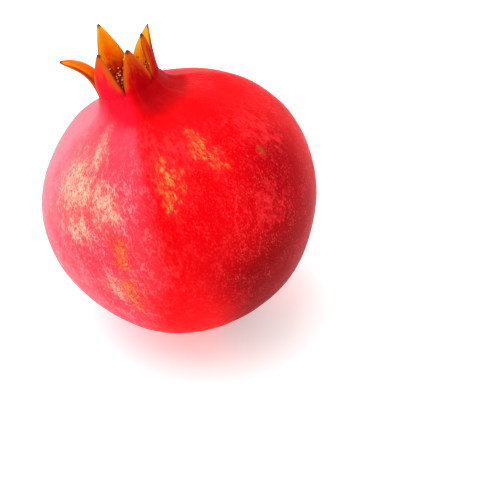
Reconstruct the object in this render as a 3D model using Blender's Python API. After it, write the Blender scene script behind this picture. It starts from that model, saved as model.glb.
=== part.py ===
"""A ripe pomegranate: one grown fruit with its calyx crown, and the dried stamens inside the crown.

Metres, +Z up. The fruit rests on a small flattened spot of its rind, whose middle is the origin.
The fruit is drawn first in its own frame, where its stem-to-crown axis is +Z and z = 0 is its widest
level, and is then leaned over onto the spot it rests on.
"""

import math

import bmesh
import bpy
from mathutils import Matrix, Vector

MM = 0.001

# Driving dimensions, in the fruit's own frame.
SEGMENTS = 60  # quads round the fruit
SEGMENT = 360 / SEGMENTS
CURVE_STEPS = 2  # steps between two control points of the rind's outline
RIM_Z = 55.0 * MM  # where the tube of the crown splits into sepals
RIM_OUTER = 11.8 * MM
RIM_INNER = 9.6 * MM
CUP_FLOOR_Z = 45.5 * MM

# (radius, height) in mm: the woody stump of the stem, from the middle of its cut face to its foot.
STEM = [(0.0, -46.6), (2.2, -46.5), (2.7, -45.0)]
# The control points of the rind's outline, from the foot of the stem to the outer edge of the rim.
RIND = [
    (5.0, -44.2), (10.5, -45.4), (17.5, -44.2), (26.5, -40.2), (35.5, -33.2), (43.5, -23.3),
    (49.3, -11.6), (52.2, 1.0), (52.1, 13.5), (48.6, 25.3), (42.0, 35.2), (33.5, 42.2),
    (25.1, 46.2), (19.5, 47.9), (15.9, 49.2), (13.8, 50.8), (12.6, 52.8), (11.8, 55.0),
]
# And on over the rim, down the inner wall to the middle of the cup's floor.
CUP = [(9.6, 55.0), (9.0, 51.5), (8.0, 48.0), (6.4, 45.9), (3.2, 45.5), (0.0, 45.5)]

# The rind bulges a little along soft ribs that run down from the notches between the sepals.
RIB_WIDTH = 17.0  # degrees from a rib's crest to where it has mostly faded
RIB_HEIGHT = 0.022  # of the local radius
RIB_MIDDLE_Z = 28.0 * MM
RIB_REACH = 46.0 * MM

# And it isn't quite round: degrees round from the first notch and degrees down from the crown to the
# middle of an uneven place, degrees that it spreads, and how far it rises.
UNEVEN_PLACES = [(85.0, 52.0, 24.0, -2.0 * MM), (-75.0, 68.0, 50.0, 1.1 * MM)]

# How the fruit stands: leaned from the vertical, towards a heading from +X, and its middle's place.
LEAN = 21.6
HEADING = 165.5
MIDDLE = Vector((0.3, -0.2, 46.1)) * MM


class Sepal:
    """One lobe of the crown: its share of the rim, and how it grows out of it."""

    def __init__(self, name, quads, length, lean, curl, twist, point, belly):
        self.name = name
        self.quads = quads  # of the rim that it takes
        self.length = length * MM
        self.lean = lean  # degrees outwards from the fruit's axis where it leaves the rim
        self.curl = curl  # degrees that it turns outwards from there to its tip
        self.twist = twist  # degrees that its middle line swings sideways round the crown
        self.point = point  # how early it narrows to its tip: the higher, the earlier
        self.belly = belly  # how much wider it is half-way up than that alone would make it

    def angle(self, along):
        """Its lean, in radians, at a share of its length. It curls most half-way up."""
        return math.radians(self.lean + self.curl * along**2 * (3.0 - 2.0 * along))

    def width(self, along):
        """Its width at a share of its length, as a share of its width at the rim."""
        full = (1.0 - along) ** self.point * (1.0 + self.belly * math.sin(math.pi * along))
        return max(SEPAL_TIP_WIDTH, full)


FIRST_NOTCH = -90.0  # degrees round the crown from +X
SEPALS = [
    Sepal("front", 10, 16.5, 14.0, -10.0, 4.0, 0.58, 0.30),
    Sepal("right", 9, 17.6, 8.0, -4.0, -9.0, 0.42, 0.10),
    Sepal("back_right", 11, 16.8, 14.0, 16.0, -22.0, 0.50, 0.30),
    Sepal("back", 10, 21.5, 6.0, 2.0, -10.0, 0.55, 0.30),
    Sepal("left", 10, 20.5, 2.0, 60.0, -6.0, 0.50, 0.0),
    Sepal("front_left", 10, 18.0, 13.0, -36.0, 6.0, 0.60, 0.30),
]
STATIONS = 6  # steps along a sepal
SEPAL_TIP_WIDTH = 0.10  # of its width at the rim
SEPAL_THICKNESS = 2.2 * MM
SEPAL_TIP_THICKNESS = 1.1 * MM

# The dried stamens: a round pad on the cup's floor that carries rings of prongs.
TUFT_GAP = 0.45 * MM
PAD_SEGMENTS = 12
PAD_RADIUS = 5.6 * MM
PAD_THICKNESS = 1.5 * MM
RING_WIDTH = 1.55 * MM
PRONG_RINGS = 3
PRONG_STEP = 5.4 * MM  # the height of each of a prong's two steps
PRONG_SPREAD = 0.6 * MM  # how far the outermost prongs lean out in one step
PRONG_TAPERS = (0.7, 0.5)  # how much of its width a prong keeps after each step


def clear_scene():
    for obj in list(bpy.data.objects):
        bpy.data.objects.remove(obj, do_unlink=True)


def material(name, colour, roughness):
    made = bpy.data.materials.new(name)
    made.use_nodes = True
    shader = made.node_tree.nodes["Principled BSDF"]
    shader.inputs["Base Color"].default_value = (*colour, 1.0)
    shader.inputs["Roughness"].default_value = roughness
    shader.inputs["Metallic"].default_value = 0.0
    return made


def standing():
    """The matrix that carries the fruit's own frame to where the fruit rests."""
    turn = Matrix.Rotation(math.radians(HEADING), 4, "Z")
    lean = turn @ Matrix.Rotation(math.radians(LEAN), 4, "Y") @ turn.inverted()
    return Matrix.Translation(MIDDLE) @ lean


def curve_through(points, steps):
    """The points with a smooth curve of smaller steps drawn through them (Catmull-Rom)."""
    points = [Vector(p) for p in points]
    padded = [2 * points[0] - points[1], *points, 2 * points[-1] - points[-2]]
    curve = []
    for before, start, end, after in zip(padded, padded[1:], padded[2:], padded[3:]):
        for step in range(steps):
            t = step / steps
            curve.append(
                start
                + (end - before) * t / 2
                + (2 * before - 5 * start + 4 * end - after) * t**2 / 2
                + (3 * start - before - 3 * end + after) * t**3 / 2
            )
    return [*curve, points[-1]]


def notches():
    """The angles, in degrees, at which one sepal ends and the next begins."""
    found = [FIRST_NOTCH]
    for sepal in SEPALS:
        found.append(found[-1] + sepal.quads * SEGMENT)
    return found[:-1]


def degrees_between(point, angle):
    """Degrees round the fruit from an angle to a point, from -180 to 180."""
    around = math.degrees(math.atan2(point.y, point.x))
    return (around - angle + 180.0) % 360.0 - 180.0


def turned_body(mesh):
    """The whole fruit without sepals: its outline and its cup, spun about the fruit's axis."""
    outline = [*STEM, *curve_through(RIND, CURVE_STEPS), *CUP]
    verts = [mesh.verts.new((radius * MM, 0.0, height * MM)) for radius, height in outline]
    edges = [mesh.edges.new(pair) for pair in zip(verts, verts[1:])]
    bmesh.ops.spin(
        mesh, geom=verts + edges, cent=(0, 0, 0), axis=(0, 0, 1),
        angle=math.tau, steps=SEGMENTS, use_merge=True,
    )
    bmesh.ops.remove_doubles(mesh, verts=mesh.verts, dist=0.01 * MM)
    bmesh.ops.rotate(
        mesh, verts=mesh.verts, cent=(0, 0, 0),
        matrix=Matrix.Rotation(math.radians(FIRST_NOTCH), 3, "Z"),
    )
    bmesh.ops.recalc_face_normals(mesh, faces=mesh.faces)


def raise_ribs(mesh):
    """Widens the rind along each rib's crest and draws it in a little between the ribs."""
    for vert in mesh.verts:
        if vert.co.xy.length < RIM_OUTER + 0.2 * MM:
            continue
        level = max(0.0, 1.0 - ((vert.co.z - RIB_MIDDLE_Z) / RIB_REACH) ** 2)
        crest = sum(math.exp(-((degrees_between(vert.co, n) / RIB_WIDTH) ** 2)) for n in notches())
        factor = 1.0 + RIB_HEIGHT * level * (crest - 0.5)
        vert.co.x *= factor
        vert.co.y *= factor


def make_uneven(mesh):
    """Presses the rind in, or swells it, around each uneven place."""
    for around, down, spread, rise in UNEVEN_PLACES:
        turn, slope = math.radians(FIRST_NOTCH + around), math.radians(down)
        ahead = Vector((math.sin(slope) * math.cos(turn), math.sin(slope) * math.sin(turn), math.cos(slope)))
        for vert in mesh.verts:
            if vert.co.xy.length > RIM_OUTER + 0.2 * MM:
                away = math.degrees(vert.co.angle(ahead)) / spread
                vert.co += vert.co.normalized() * rise * math.exp(-(away**2))


def middle_line(sepal, along):
    """(outward, upward, angle) of a sepal's middle line at a share of its length, from the rim."""
    outward, upward = 0.0, 0.0
    steps = 20
    for i in range(steps):
        angle = sepal.angle(along * (i + 0.5) / steps)
        outward += math.sin(angle) * sepal.length * along / steps
        upward += math.cos(angle) * sepal.length * along / steps
    return outward, upward, sepal.angle(along)


def sepal_point(sepal, middle, across, outside, along):
    """A point of the sepal: across from -1 to 1 over its width, on its outer or inner side."""
    outward, upward, angle = middle_line(sepal, along)
    mean_radius = (RIM_OUTER + RIM_INNER) / 2
    thickness = SEPAL_THICKNESS + (SEPAL_TIP_THICKNESS - SEPAL_THICKNESS) * along
    radius = mean_radius + (thickness / 2 if outside else -thickness / 2)
    # The blade keeps the round of the tube across its width, and tips with its middle line.
    swing = math.radians(sepal.quads * SEGMENT) / 2 * across * sepal.width(along)
    sideways = radius * math.sin(swing)
    depth = radius * math.cos(swing) - mean_radius
    point = Vector((
        mean_radius + outward + depth * math.cos(angle),
        sideways,
        RIM_Z + upward - depth * math.sin(angle),
    ))
    return Matrix.Rotation(math.radians(middle + sepal.twist * along), 3, "Z") @ point


def grow_sepals(mesh):
    """Extrudes each sepal out of its share of the rim's faces, station by station."""
    rim = [f for f in mesh.faces if all(abs(v.co.z - RIM_Z) < 0.01 * MM for v in f.verts)]
    shares = []
    for sepal, start in zip(SEPALS, notches()):
        half = sepal.quads * SEGMENT / 2
        middle = start + half
        faces = [f for f in rim if abs(degrees_between(f.calc_center_median(), middle)) < half]
        shares.append((sepal, middle, half, faces))
    for sepal, middle, half, faces in shares:
        spots = {}
        for vert in {v for f in faces for v in f.verts}:
            across = degrees_between(vert.co, middle) / half
            outside = vert.co.xy.length > (RIM_OUTER + RIM_INNER) / 2
            spots[vert.co.copy().freeze()] = (across, outside)
        for station in range(1, STATIONS + 1):
            made = bmesh.ops.extrude_face_region(mesh, geom=faces)["geom"]
            bmesh.ops.delete(mesh, geom=faces, context="FACES")
            faces = [g for g in made if isinstance(g, bmesh.types.BMFace)]
            moved = {}
            for vert in {v for f in faces for v in f.verts}:
                spot = spots[vert.co.copy().freeze()]
                vert.co = sepal_point(sepal, middle, *spot, station / STATIONS)
                moved[vert.co.copy().freeze()] = spot
            spots = moved


def flatten_rest(mesh):
    """Cuts the rind flat on the floor."""
    cut = bmesh.ops.bisect_plane(
        mesh, geom=mesh.verts[:] + mesh.edges[:] + mesh.faces[:],
        plane_co=(0, 0, 0), plane_no=(0, 0, -1), clear_outer=True,
    )["geom_cut"]
    edges = [g for g in cut if isinstance(g, bmesh.types.BMEdge)]
    bmesh.ops.contextual_create(mesh, geom=edges)
    for vert in mesh.verts:
        if abs(vert.co.z) < 0.001 * MM:
            vert.co.z = 0.0


def finish(mesh, name, look):
    """Stands the mesh on the floor and makes it an object with its own material."""
    bmesh.ops.recalc_face_normals(mesh, faces=mesh.faces)
    data = bpy.data.meshes.new(name)
    mesh.to_mesh(data)
    mesh.free()
    data.materials.append(look)
    data.shade_smooth()
    data.set_sharp_from_angle(angle=math.radians(50))
    obj = bpy.data.objects.new(name, data)
    bpy.context.scene.collection.objects.link(obj)


def make_fruit():
    mesh = bmesh.new()
    turned_body(mesh)
    raise_ribs(mesh)
    make_uneven(mesh)
    grow_sepals(mesh)
    bmesh.ops.transform(mesh, matrix=standing(), verts=mesh.verts)
    flatten_rest(mesh)
    finish(mesh, "fruit", material("rind", (0.62, 0.02, 0.03), 0.45))


def make_stamens():
    """A round pad whose top is inset into rings, and every face of the rings drawn into a prong."""
    mesh = bmesh.new()
    bmesh.ops.create_circle(mesh, cap_ends=True, segments=PAD_SEGMENTS, radius=PAD_RADIUS)
    made = bmesh.ops.extrude_face_region(mesh, geom=mesh.faces[:])["geom"]
    lifted = [g for g in made if isinstance(g, bmesh.types.BMVert)]
    bmesh.ops.translate(mesh, verts=lifted, vec=(0, 0, PAD_THICKNESS))
    top = [g for g in made if isinstance(g, bmesh.types.BMFace)]
    prongs = []
    for _ in range(PRONG_RINGS):
        prongs += bmesh.ops.inset_region(mesh, faces=top, thickness=RING_WIDTH)["faces"]
    bmesh.ops.recalc_face_normals(mesh, faces=mesh.faces)
    for taper in PRONG_TAPERS:
        prongs = bmesh.ops.extrude_discrete_faces(mesh, faces=prongs)["faces"]
        for face in prongs:
            centre = face.calc_center_median()
            outward = centre * Vector((1, 1, 0)) * PRONG_SPREAD / PAD_RADIUS
            step = outward + Vector((0, 0, PRONG_STEP))
            for vert in face.verts:
                vert.co = centre + (vert.co - centre) * taper + step
    bmesh.ops.translate(mesh, verts=mesh.verts, vec=(0, 0, CUP_FLOOR_Z + TUFT_GAP))
    bmesh.ops.transform(mesh, matrix=standing(), verts=mesh.verts)
    finish(mesh, "stamens", material("dried_stamen", (0.25, 0.06, 0.03), 0.7))


def main():
    clear_scene()
    make_fruit()
    make_stamens()


main()
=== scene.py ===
# %% [markdown]
# # A pomegranate with its calyx crown
# A pomegranate grows as one piece: a leathery rind, a short neck, and a crown of stiff sepals left over
# from the flower. Inside the crown sits a tuft of dried stamens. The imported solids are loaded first. They
# give the place and the size of everything, and each piece made here stands for one of them.

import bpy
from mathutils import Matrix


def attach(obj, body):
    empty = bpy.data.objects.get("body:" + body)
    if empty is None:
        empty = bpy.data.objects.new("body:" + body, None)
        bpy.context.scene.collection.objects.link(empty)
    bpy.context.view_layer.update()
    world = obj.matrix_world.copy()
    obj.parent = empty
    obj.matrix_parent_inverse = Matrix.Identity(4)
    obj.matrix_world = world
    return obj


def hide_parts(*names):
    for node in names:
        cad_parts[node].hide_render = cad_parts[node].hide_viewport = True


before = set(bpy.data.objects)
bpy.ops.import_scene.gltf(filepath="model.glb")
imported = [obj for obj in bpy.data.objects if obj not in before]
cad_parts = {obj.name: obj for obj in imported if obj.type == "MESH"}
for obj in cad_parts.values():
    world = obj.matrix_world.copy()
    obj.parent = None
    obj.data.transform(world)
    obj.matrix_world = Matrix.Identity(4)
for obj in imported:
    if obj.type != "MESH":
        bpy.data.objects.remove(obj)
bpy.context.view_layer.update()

# %% Tools and units
import math
import random

import bmesh
import bpy
from mathutils import Matrix, Vector

MM = 0.001

# %% [markdown]
# ## How the fruit stands
# The fruit is easiest to shape upright, with its stem-to-crown axis along Z and its widest level at z = 0.
# Only when it is finished is it leaned over and set down on the low side of its body. The same turn is
# used later by the materials, so that a streak can run from the crown to the stem.

# %% The lean, and the turn that faces the front rib along +X
LEAN = 21.6  # degrees from upright
HEADING = 165.5  # degrees from +X, the way the crown leans
MIDDLE = Vector((0.3, -0.2, 46.1)) * MM  # where the fruit's middle comes to rest
FRONT_NOTCH = -90.0  # degrees from +X round the upright fruit, to the notch that faces the front

heading = Matrix.Rotation(math.radians(HEADING), 4, "Z")
LEANED = heading @ Matrix.Rotation(math.radians(LEAN), 4, "Y") @ heading.inverted()
STANDING = Matrix.Translation(MIDDLE) @ LEANED
FACING = LEANED @ Matrix.Rotation(math.radians(FRONT_NOTCH), 4, "Z")
print("the crown points along", [round(c, 3) for c in LEANED @ Vector((0, 0, 1))])

# %% [markdown]
# ## The camera
# The camera looks down on the fruit at 38 degrees through a short portrait lens. It stands a little to the
# right of the fruit and lower than a straight aim, so the fruit sits in the upper left of the view.

# %% Set up the camera
CAMERA_PITCH = 38.0  # degrees downwards
CAMERA_DISTANCE = 458 * MM
CAMERA_LENS = 85.0  # mm
CAMERA_ASIDE = Vector((24.2, -17.1, 0.0)) * MM  # right and down from a straight aim

camera = bpy.data.objects.new("camera", bpy.data.cameras.new("camera"))
bpy.context.scene.collection.objects.link(camera)
bpy.context.scene.camera = camera
camera.data.lens = CAMERA_LENS
camera.data.clip_start = 10 * MM
camera.rotation_euler = (math.radians(90 - CAMERA_PITCH), 0, 0)
aim = camera.rotation_euler.to_matrix()
camera.location = MIDDLE + aim @ (CAMERA_ASIDE + Vector((0, 0, CAMERA_DISTANCE)))
print("camera at", [round(c, 3) for c in camera.location])

# %% [markdown]
# ## Working by hand, in code
# Every piece starts as a simple primitive and is shaped in edit mode, the way it would be with the mouse.
# An operator acts on whatever is selected, so the helpers below keep the selection clean.


# %% Small helpers for the bench
def pick_only(obj):
    """Selects one object and nothing else."""
    bpy.ops.object.select_all(action="DESELECT")
    obj.select_set(True)
    bpy.context.view_layer.objects.active = obj


def open_mesh(obj):
    pick_only(obj)
    bpy.ops.object.mode_set(mode="EDIT")


def close_mesh():
    bpy.ops.object.mode_set(mode="OBJECT")


def turn_picked(degrees, axis, about):
    """Turns the selection by the right-hand rule. Without a window the operator turns the other way."""
    bpy.ops.transform.rotate(value=-math.radians(degrees), orient_axis=axis, center_override=about)


def apply_modifier(obj, kind, **settings):
    pick_only(obj)
    modifier = obj.modifiers.new(kind.title(), kind)
    for name, value in settings.items():
        setattr(modifier, name, value)
    bpy.ops.object.modifier_apply(modifier=modifier.name)


def lean_over(obj):
    """Stands a finished piece where the fruit stands, and leaves its object at the origin."""
    pick_only(obj)
    obj.matrix_world = STANDING @ obj.matrix_world
    bpy.ops.object.transform_apply(location=True, rotation=True, scale=True)


# %% [markdown]
# ## The rind: a ring drawn up into a fruit
# The body is round in plan, so a potter's way suits it. A small ring at the stem end is extruded upwards
# again and again, and each new ring is scaled to the fruit's width at that height. A sphere would have
# needed its poles pulled out into a neck; rings give the dimple, the shoulder and the neck directly.

# %% The outline of the rind
SEGMENTS = 60  # quads round the fruit
SEGMENT = 360 / SEGMENTS
RIM_Z = 55.0  # mm, where the tube of the crown splits into sepals
RIM_RADIUS = 10.7  # mm, the middle of the tube's wall
RIND = [
    (2.0, -43.3), (4.0, -43.9), (6.5, -44.8), (10.5, -45.5), (17.5, -44.3), (26.6, -40.3),
    (35.7, -33.3), (43.7, -23.4), (49.6, -11.6), (52.5, 1.0), (52.4, 13.5), (48.8, 25.5),
    (42.2, 35.4), (33.7, 42.3), (25.2, 46.3), (19.6, 48.0), (16.0, 49.3), (13.9, 50.9),
    (12.7, 52.8), (12.1, 54.5), (11.9, 55.0),
]
CUP = [(9.8, 55.0), (9.5, 54.4), (9.0, 51.5), (8.0, 48.0), (6.2, 45.9), (3.0, 45.5)]


# %% Draw the rings
def pick_edges(obj, wanted):
    """Selects the edges for which wanted(edge) is true, in edit mode."""
    bpy.ops.mesh.select_mode(type="EDGE")
    mesh = bmesh.from_edit_mesh(obj.data)
    for edge in mesh.edges:
        edge.select_set(wanted(edge))
    bmesh.update_edit_mesh(obj.data)


def close_pole():
    """Closes the picked ring with faces that meet in one point."""
    bpy.ops.mesh.extrude_edges_move(TRANSFORM_OT_translate={"value": (0, 0, 0)})
    bpy.ops.mesh.merge(type="CENTER")


def draw_rings(outline):
    """Makes a ring at the first (radius, height), then draws it on through all the others."""
    radius, height = outline[0]
    bpy.ops.mesh.primitive_circle_add(
        vertices=SEGMENTS, radius=radius * MM, fill_type="NOTHING",
        location=(0, 0, height * MM), rotation=(0, 0, math.radians(FRONT_NOTCH)),
    )
    made = bpy.context.object
    bpy.ops.object.transform_apply(location=True, rotation=True, scale=True)
    open_mesh(made)
    bpy.ops.mesh.select_all(action="SELECT")
    close_pole()
    bpy.ops.mesh.select_all(action="DESELECT")
    pick_edges(made, lambda edge: edge.is_boundary)
    for next_radius, next_height in outline[1:]:
        bpy.ops.mesh.extrude_edges_move(
            TRANSFORM_OT_translate={"value": (0, 0, (next_height - height) * MM)}
        )
        widen = next_radius / radius
        bpy.ops.transform.resize(value=(widen, widen, 1), center_override=(0, 0, next_height * MM))
        radius, height = next_radius, next_height
    close_pole()
    bpy.ops.mesh.select_all(action="SELECT")
    bpy.ops.mesh.normals_make_consistent(inside=False)
    close_mesh()
    return made


rind = draw_rings(RIND + CUP)
rind.name = "rind"
print("rind cage:", len(rind.data.polygons), "faces, width",
      round(rind.dimensions.x / MM, 1), "mm, height", round(rind.dimensions.z / MM, 1), "mm")

# %% [markdown]
# ## The sepals: what becomes of the rim
# Six sepals grow out of the rim of the tube, and no two are alike: one curls right over, one leans in, the
# others stand nearly straight. Each takes its share of the rim's faces. Two neighbours share one edge of
# the rim, so the notch between them is a clean V that the tube's wall runs into.

# %% Name the sepals, going round from the front notch
from collections import namedtuple

Sepal = namedtuple("Sepal", "name quads length lean curl twist point belly")
SEPALS = [  # faces of the rim, length in mm, three angles in degrees,
            # how early it narrows, how much it swells
    Sepal("front", 10, 16.5, 14.0, -10.0, 4.0, 0.58, 0.30),
    Sepal("right", 9, 17.6, 8.0, -4.0, -9.0, 0.42, 0.10),
    Sepal("back_right", 11, 16.8, 14.0, 16.0, -22.0, 0.50, 0.30),
    Sepal("back", 10, 21.5, 6.0, 2.0, -10.0, 0.55, 0.30),
    Sepal("left", 10, 20.5, 2.0, 60.0, -6.0, 0.50, 0.0),
    Sepal("front_left", 10, 18.0, 13.0, -36.0, 6.0, 0.60, 0.30),
]
STATIONS = 8  # steps along a sepal
TIP_WIDTH = 0.06  # of its width at the rim


def sepal_width(along, sepal):
    """A sepal's width at a share of its length: it swells a little, then runs out to a point."""
    swelling = 1.0 + sepal.belly * math.sin(math.pi * along)
    return max(TIP_WIDTH, (1.0 - along) ** sepal.point * swelling)


def sepal_angle(along, sepal):
    """How far it leans outwards there: it curls most in the middle of its length."""
    return sepal.lean + sepal.curl * along * along * (3.0 - 2.0 * along)


NOTCHES = [FRONT_NOTCH + SEGMENT * sum(s.quads for s in SEPALS[:i]) for i in range(len(SEPALS))]
print("notches at", [round(a) for a in NOTCHES], "degrees")


# %% Mark the rind's points: how far across a sepal they lie, and which side of the wall
def degrees_between(point, angle):
    """Degrees round the fruit from an angle to a point, from -180 to 180."""
    around = math.degrees(math.atan2(point.y, point.x))
    return (around - angle + 180.0) % 360.0 - 180.0


def across_share(point, start, sepal):
    """-1 at one notch of a sepal, 0 at its middle, 1 at its other notch."""
    half = sepal.quads * SEGMENT / 2
    return degrees_between(point, start + half) / half


def mark(obj, name, value_at):
    """Writes a number at every point of a mesh, for the materials and the next tools to read."""
    layer = obj.data.attributes.new(name, "FLOAT", "POINT")
    for vert in obj.data.vertices:
        layer.data[vert.index].value = value_at(vert.co)


def nearest_across(point):
    """How far across its own sepal a point lies: 0 in the middle, 1 at the notches."""
    shares = [abs(across_share(point, start, sepal)) for start, sepal in zip(NOTCHES, SEPALS)]
    return min(shares)


CUP_FLOOR_Z = 45.0  # mm, just under the floor of the cup


def inside_cup(point):
    return float(point.xy.length < RIM_RADIUS * MM and point.z > CUP_FLOOR_Z * MM)


mark(rind, "across_sepal", nearest_across)
mark(rind, "along_sepal", lambda point: 0.0)  # each sepal writes its own as it grows
mark(rind, "inside_crown", inside_cup)
print("marks:", [layer.name for layer in rind.data.attributes if layer.data_type == "FLOAT"])


# %% Grow one sepal out of its share of the rim
def pick_rim(obj, start, sepal):
    """Selects the faces of the flat rim that one sepal grows out of."""
    bpy.ops.mesh.select_mode(type="FACE")
    mesh = bmesh.from_edit_mesh(obj.data)
    for face in mesh.faces:
        middle = face.calc_center_median()
        on_rim = all(abs(v.co.z - RIM_Z * MM) < 0.01 * MM for v in face.verts)
        face.select_set(on_rim and abs(across_share(middle, start, sepal)) < 1.0)
    bmesh.update_edit_mesh(obj.data)


def mark_station(obj, along):
    """Writes how far along its sepal the selected ring lies."""
    mesh = bmesh.from_edit_mesh(obj.data)
    layer = mesh.verts.layers.float["along_sepal"]
    for vert in mesh.verts:
        if vert.select:
            vert[layer] = along


def grow_sepal(obj, start, sepal):
    """Turns the fruit until the sepal faces +X, then extrudes, narrows and bends it step by step."""
    middle = start + sepal.quads * SEGMENT / 2
    obj.rotation_euler.z = -math.radians(middle)
    bpy.context.view_layer.update()
    open_mesh(obj)
    pick_rim(obj, start, sepal)
    spot = Vector((RIM_RADIUS, 0, RIM_Z)) * MM
    step = sepal.length * MM / STATIONS
    width, bent = 1.0, 0.0
    for station in range(1, STATIONS + 1):
        along = station / STATIONS
        angle = sepal_angle(along - 0.5 / STATIONS, sepal)
        move = Vector((math.sin(math.radians(angle)), 0, math.cos(math.radians(angle)))) * step
        bpy.ops.mesh.extrude_region_move(TRANSFORM_OT_translate={"value": move})
        spot += move
        turn_picked(-bent, "Y", spot)
        narrow = sepal_width(along, sepal) / width
        bpy.ops.transform.resize(value=(math.sqrt(narrow), narrow, 1), center_override=spot)
        width *= narrow
        bent = sepal_angle(along, sepal)
        turn_picked(bent, "Y", spot)
        turn_picked(sepal.twist / STATIONS, "Z", (0, 0, 0))
        spot = Matrix.Rotation(math.radians(sepal.twist / STATIONS), 3, "Z") @ spot
        mark_station(obj, along)
    close_mesh()
    obj.rotation_euler.z = 0.0


for start, sepal in zip(NOTCHES, SEPALS):
    grow_sepal(rind, start, sepal)
    print(sepal.name, "grown; the rind's cage has", len(rind.data.polygons), "faces")

# %% [markdown]
# ## Ribs, thin margins and a smooth skin
# Under each notch a soft rib runs down the body, and the rind lies flatter between two ribs. A sepal is
# thick at its root and thin at its margins and its tip. Both are pushes along the surface, so a Displace
# modifier does each of them, held back by a vertex group that says how strongly every point moves. The
# body isn't even either: three broad pushes more flatten a shoulder and fill out a side and the foot.

# %% Push the ribs out and thin the sepals
RIB_SPREAD = 15.0  # degrees from a rib's crest to where it has mostly faded
RIB_ROUNDNESS = 1.3  # 1 is a sharp crest, 2 a round one
RIB_MIDDLE_Z = 32.0  # mm, where the ribs stand out most
RIB_REACH = 46.0  # mm above and below that, where they end
RIB_RISE = 1.1 * MM
BODY_TOP_Z = 54.7  # mm, just under the rim
TUBE_RADIUS = 11.9  # mm, the outside of the tube
BELOW_CUP_Z = 40.0  # mm, under which everything is outside
MARGIN_THINNING = 0.75 * MM
MARGIN_STARTS = 0.55  # share of the half width from which a sepal thins
MARGIN_BAND = 0.45  # and the share over which it does
ROOT_QUICKNESS = 3.0  # the thinning is whole after a third of the length


def rib_weight(point):
    """Strong on a rib's crest, and fading to its sides and towards its ends."""
    level = max(0.0, 1.0 - ((point.z / MM - RIB_MIDDLE_Z) / RIB_REACH) ** 2)
    crest = sum(math.exp(-abs(degrees_between(point, notch) / RIB_SPREAD) ** RIB_ROUNDNESS)
                for notch in NOTCHES)
    return level * min(1.0, crest)


def push(obj, name, rise, weight_at):
    """Moves every point along its normal by rise times its weight."""
    group = obj.vertex_groups.new(name=name)
    for vert in obj.data.vertices:
        weight = weight_at(vert)
        if weight > 0.0:
            group.add([vert.index], weight, "REPLACE")
    apply_modifier(obj, "DISPLACE", strength=rise, mid_level=0.0, vertex_group=name)


def outside_body(vert):
    """True on the body and the neck, but not on the sepals or in the cup."""
    out_of_cup = vert.co.xy.length > TUBE_RADIUS * MM or vert.co.z < BELOW_CUP_Z * MM
    return vert.co.z < BODY_TOP_Z * MM and out_of_cup


UNEVEN_SIDES = [  # degrees round from the front rib, degrees down from the crown, degrees of spread, mm out
    ("flat_shoulder", 92.0, 52.0, 25.0, -2.5),
    ("full_side", -75.0, 68.0, 50.0, 1.1),
    ("full_foot", -27.0, 118.0, 22.0, 2.0),
]


def side_weight(around, down, spread):
    """Full in one direction out of the fruit's middle, and fading away from it."""
    turn = math.radians(FRONT_NOTCH + around)
    slope = math.radians(down)
    ahead = Vector((
        math.sin(slope) * math.cos(turn), math.sin(slope) * math.sin(turn), math.cos(slope),
    ))
    return lambda vert: math.exp(-(math.degrees(vert.co.angle(ahead)) / spread) ** 2)


def margin_weight(vert):
    """Strong at a sepal's margins, and nothing at its root."""
    along = rind.data.attributes["along_sepal"].data[vert.index].value
    across = rind.data.attributes["across_sepal"].data[vert.index].value
    return min(1.0, along * ROOT_QUICKNESS) * max(0.0, across - MARGIN_STARTS) / MARGIN_BAND


push(rind, "rib", RIB_RISE, lambda vert: rib_weight(vert.co) if outside_body(vert) else 0.0)
push(rind, "margin", -MARGIN_THINNING, margin_weight)
for name, around, down, spread, rise in UNEVEN_SIDES:
    push(rind, name, rise * MM, side_weight(around, down, spread))
print("width over the ribs:", round(rind.dimensions.x / MM, 1), "mm")

# %% Smooth it, and let the skin swell unevenly
SMOOTH_LEVELS = 2
SWELL_SIZE = 26 * MM  # from one swelling to the next
SWELL_RISE = 1.1 * MM  # from the lowest hollow to the highest swelling

apply_modifier(rind, "SUBSURF", levels=SMOOTH_LEVELS, render_levels=SMOOTH_LEVELS)
swell = bpy.data.textures.new("swell", "CLOUDS")
swell.noise_scale = SWELL_SIZE
apply_modifier(rind, "DISPLACE", strength=SWELL_RISE, mid_level=0.5, texture=swell, texture_coords="LOCAL")
print("rind:", len(rind.data.polygons), "faces")

# %% Set it down on the floor, which presses a small flat spot into it
CREASE_ANGLE = 60.0  # degrees; a sharper edge than this isn't shaded smooth

lean_over(rind)
open_mesh(rind)
bpy.ops.mesh.select_mode(type="VERT")
mesh = bmesh.from_edit_mesh(rind.data)
for vert in mesh.verts:
    vert.select_set(vert.co.z < 0.0)
bmesh.update_edit_mesh(rind.data)
bpy.ops.transform.resize(value=(1, 1, 0), center_override=(0, 0, 0))
close_mesh()
pick_only(rind)
bpy.ops.object.shade_smooth_by_angle(angle=math.radians(CREASE_ANGLE))
print("rests at z =", round(min(v.co.z for v in rind.data.vertices) / MM, 3), "mm")

# %% [markdown]
# ## The stump of the stem
# The fruit was clipped from its twig, which leaves a short woody stump in a dimple at the lower end. It is
# a ring drawn outwards like the rind, with a pith sunk into its cut face.

# %% Draw the stump
STUMP = [  # (radius, height) in mm, outwards from inside the dimple to the sunken pith
    (3.1, -43.2), (2.6, -44.4), (2.4, -45.4), (2.3, -46.4), (2.0, -46.7), (1.3, -46.6), (0.9, -46.2),
]
BARK_SIZE = 1.2 * MM  # from one wrinkle to the next
BARK_RISE = 0.5 * MM

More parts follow.
